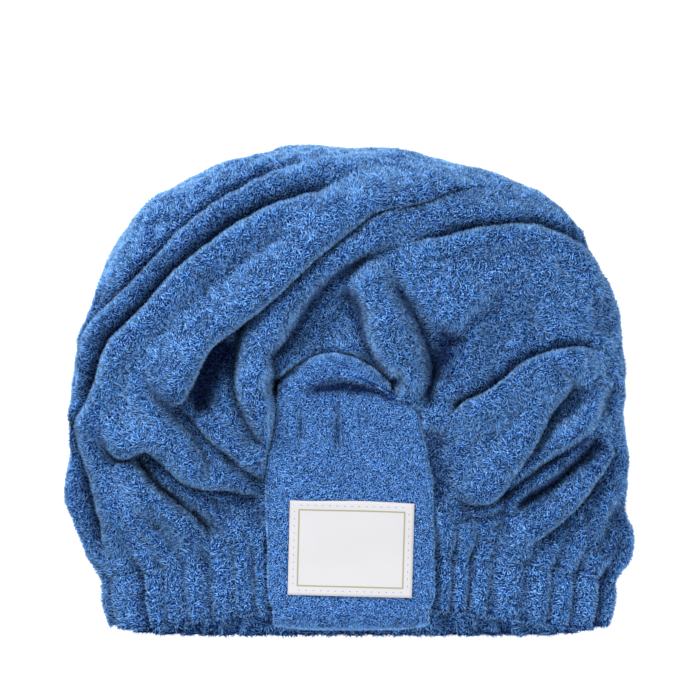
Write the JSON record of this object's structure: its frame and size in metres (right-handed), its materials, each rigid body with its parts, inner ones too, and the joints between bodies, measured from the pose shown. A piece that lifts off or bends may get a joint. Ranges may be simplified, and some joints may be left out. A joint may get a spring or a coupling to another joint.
{
  "type": "hair turban towel",
  "caption": "Soft terry hair-drying turban lying on its back: gathered elastic hem, folded and twisted crown, and a front strap with a bare sewn label.",
  "frame": {"origin": "on the table, under the middle of the whole part's box", "axes": "+Z is the turban's front, facing up as it lies on its back; +Y points to the crown's top and -Y out of the mouth; +X is to the right seen from above"},
  "size_m": [0.2726, 0.239, 0.0899],
  "materials": {
    "crown_terry": "fluffy microfibre terry, blue, dark between the tufts",
    "strap_terry": "shorter, smoother terry of the same blue",
    "woven_label": "white woven satin with a thin grey border"
  },
  "bodies": {
    "root": {"crown": "crown_terry", "elastic_band": "crown_terry", "front_strap": "strap_terry", "label": "woven_label"}
  },
  "joints": []
}
